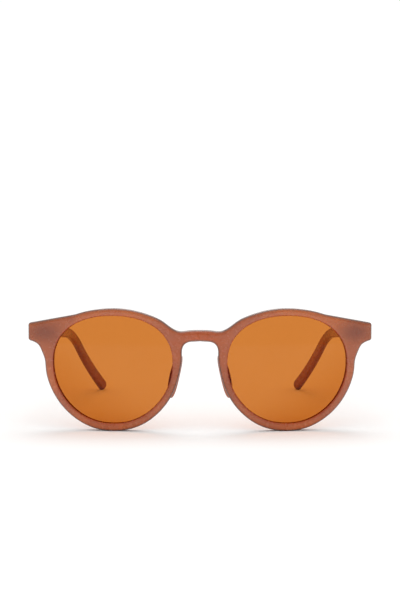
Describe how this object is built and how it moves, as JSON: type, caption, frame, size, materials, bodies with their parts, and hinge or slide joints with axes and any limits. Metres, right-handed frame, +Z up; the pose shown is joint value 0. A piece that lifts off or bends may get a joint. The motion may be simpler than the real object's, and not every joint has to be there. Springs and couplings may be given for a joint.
{
  "type": "sunglasses",
  "caption": "Round full-rim sunglasses in translucent caramel acetate with orange tinted lenses, glued nose pads and temples that fold on screw hinges.",
  "frame": {"origin": "bottom centre of the bounding box, on the surface that the rims and the temple tips stand on, half way from the front's face to the tips", "axes": "+X towards the wearer's left, +Y from the lenses back towards the ears, +Z up"},
  "size_m": [0.145, 0.1364, 0.0512],
  "materials": {
    "acetate": "polished translucent caramel acetate",
    "temple_acetate": "polished translucent caramel acetate",
    "pad_acetate": "polished translucent caramel acetate",
    "lens": "polished orange tint",
    "hinge_metal": "tumbled nickel silver",
    "screw_steel": "turned stainless steel",
    "core_wire": "rolled nickel silver"
  },
  "bodies": {
    "front": {"front_frame": "acetate", "left_lens": "lens", "left_nose_pad": "pad_acetate", "left_front_hinge_leaf": "hinge_metal", "left_hinge_screw": "screw_steel", "left_front_leaf_screws": "screw_steel", "right_lens": "lens", "right_nose_pad": "pad_acetate", "right_front_hinge_leaf": "hinge_metal", "right_hinge_screw": "screw_steel", "right_front_leaf_screws": "screw_steel"},
    "left_temple_arm": {"left_temple": "temple_acetate", "left_core_wire": "core_wire", "left_temple_hinge_leaf": "hinge_metal", "left_temple_leaf_screws": "screw_steel"},
    "right_temple_arm": {"right_temple": "temple_acetate", "right_core_wire": "core_wire", "right_temple_hinge_leaf": "hinge_metal", "right_temple_leaf_screws": "screw_steel"}
  },
  "joints": [
    {"name": "left_temple_fold", "type": "hinge", "parent": "front", "child": "left_temple_arm", "pos_m": [0.0672, -0.05599, 0.04115], "axis": [0, 0, 1], "range_deg": [0, 84]},
    {"name": "right_temple_fold", "type": "hinge", "parent": "front", "child": "right_temple_arm", "pos_m": [-0.0672, -0.05599, 0.04115], "axis": [0, 0, -1], "range_deg": [0, 78]}
  ]
}
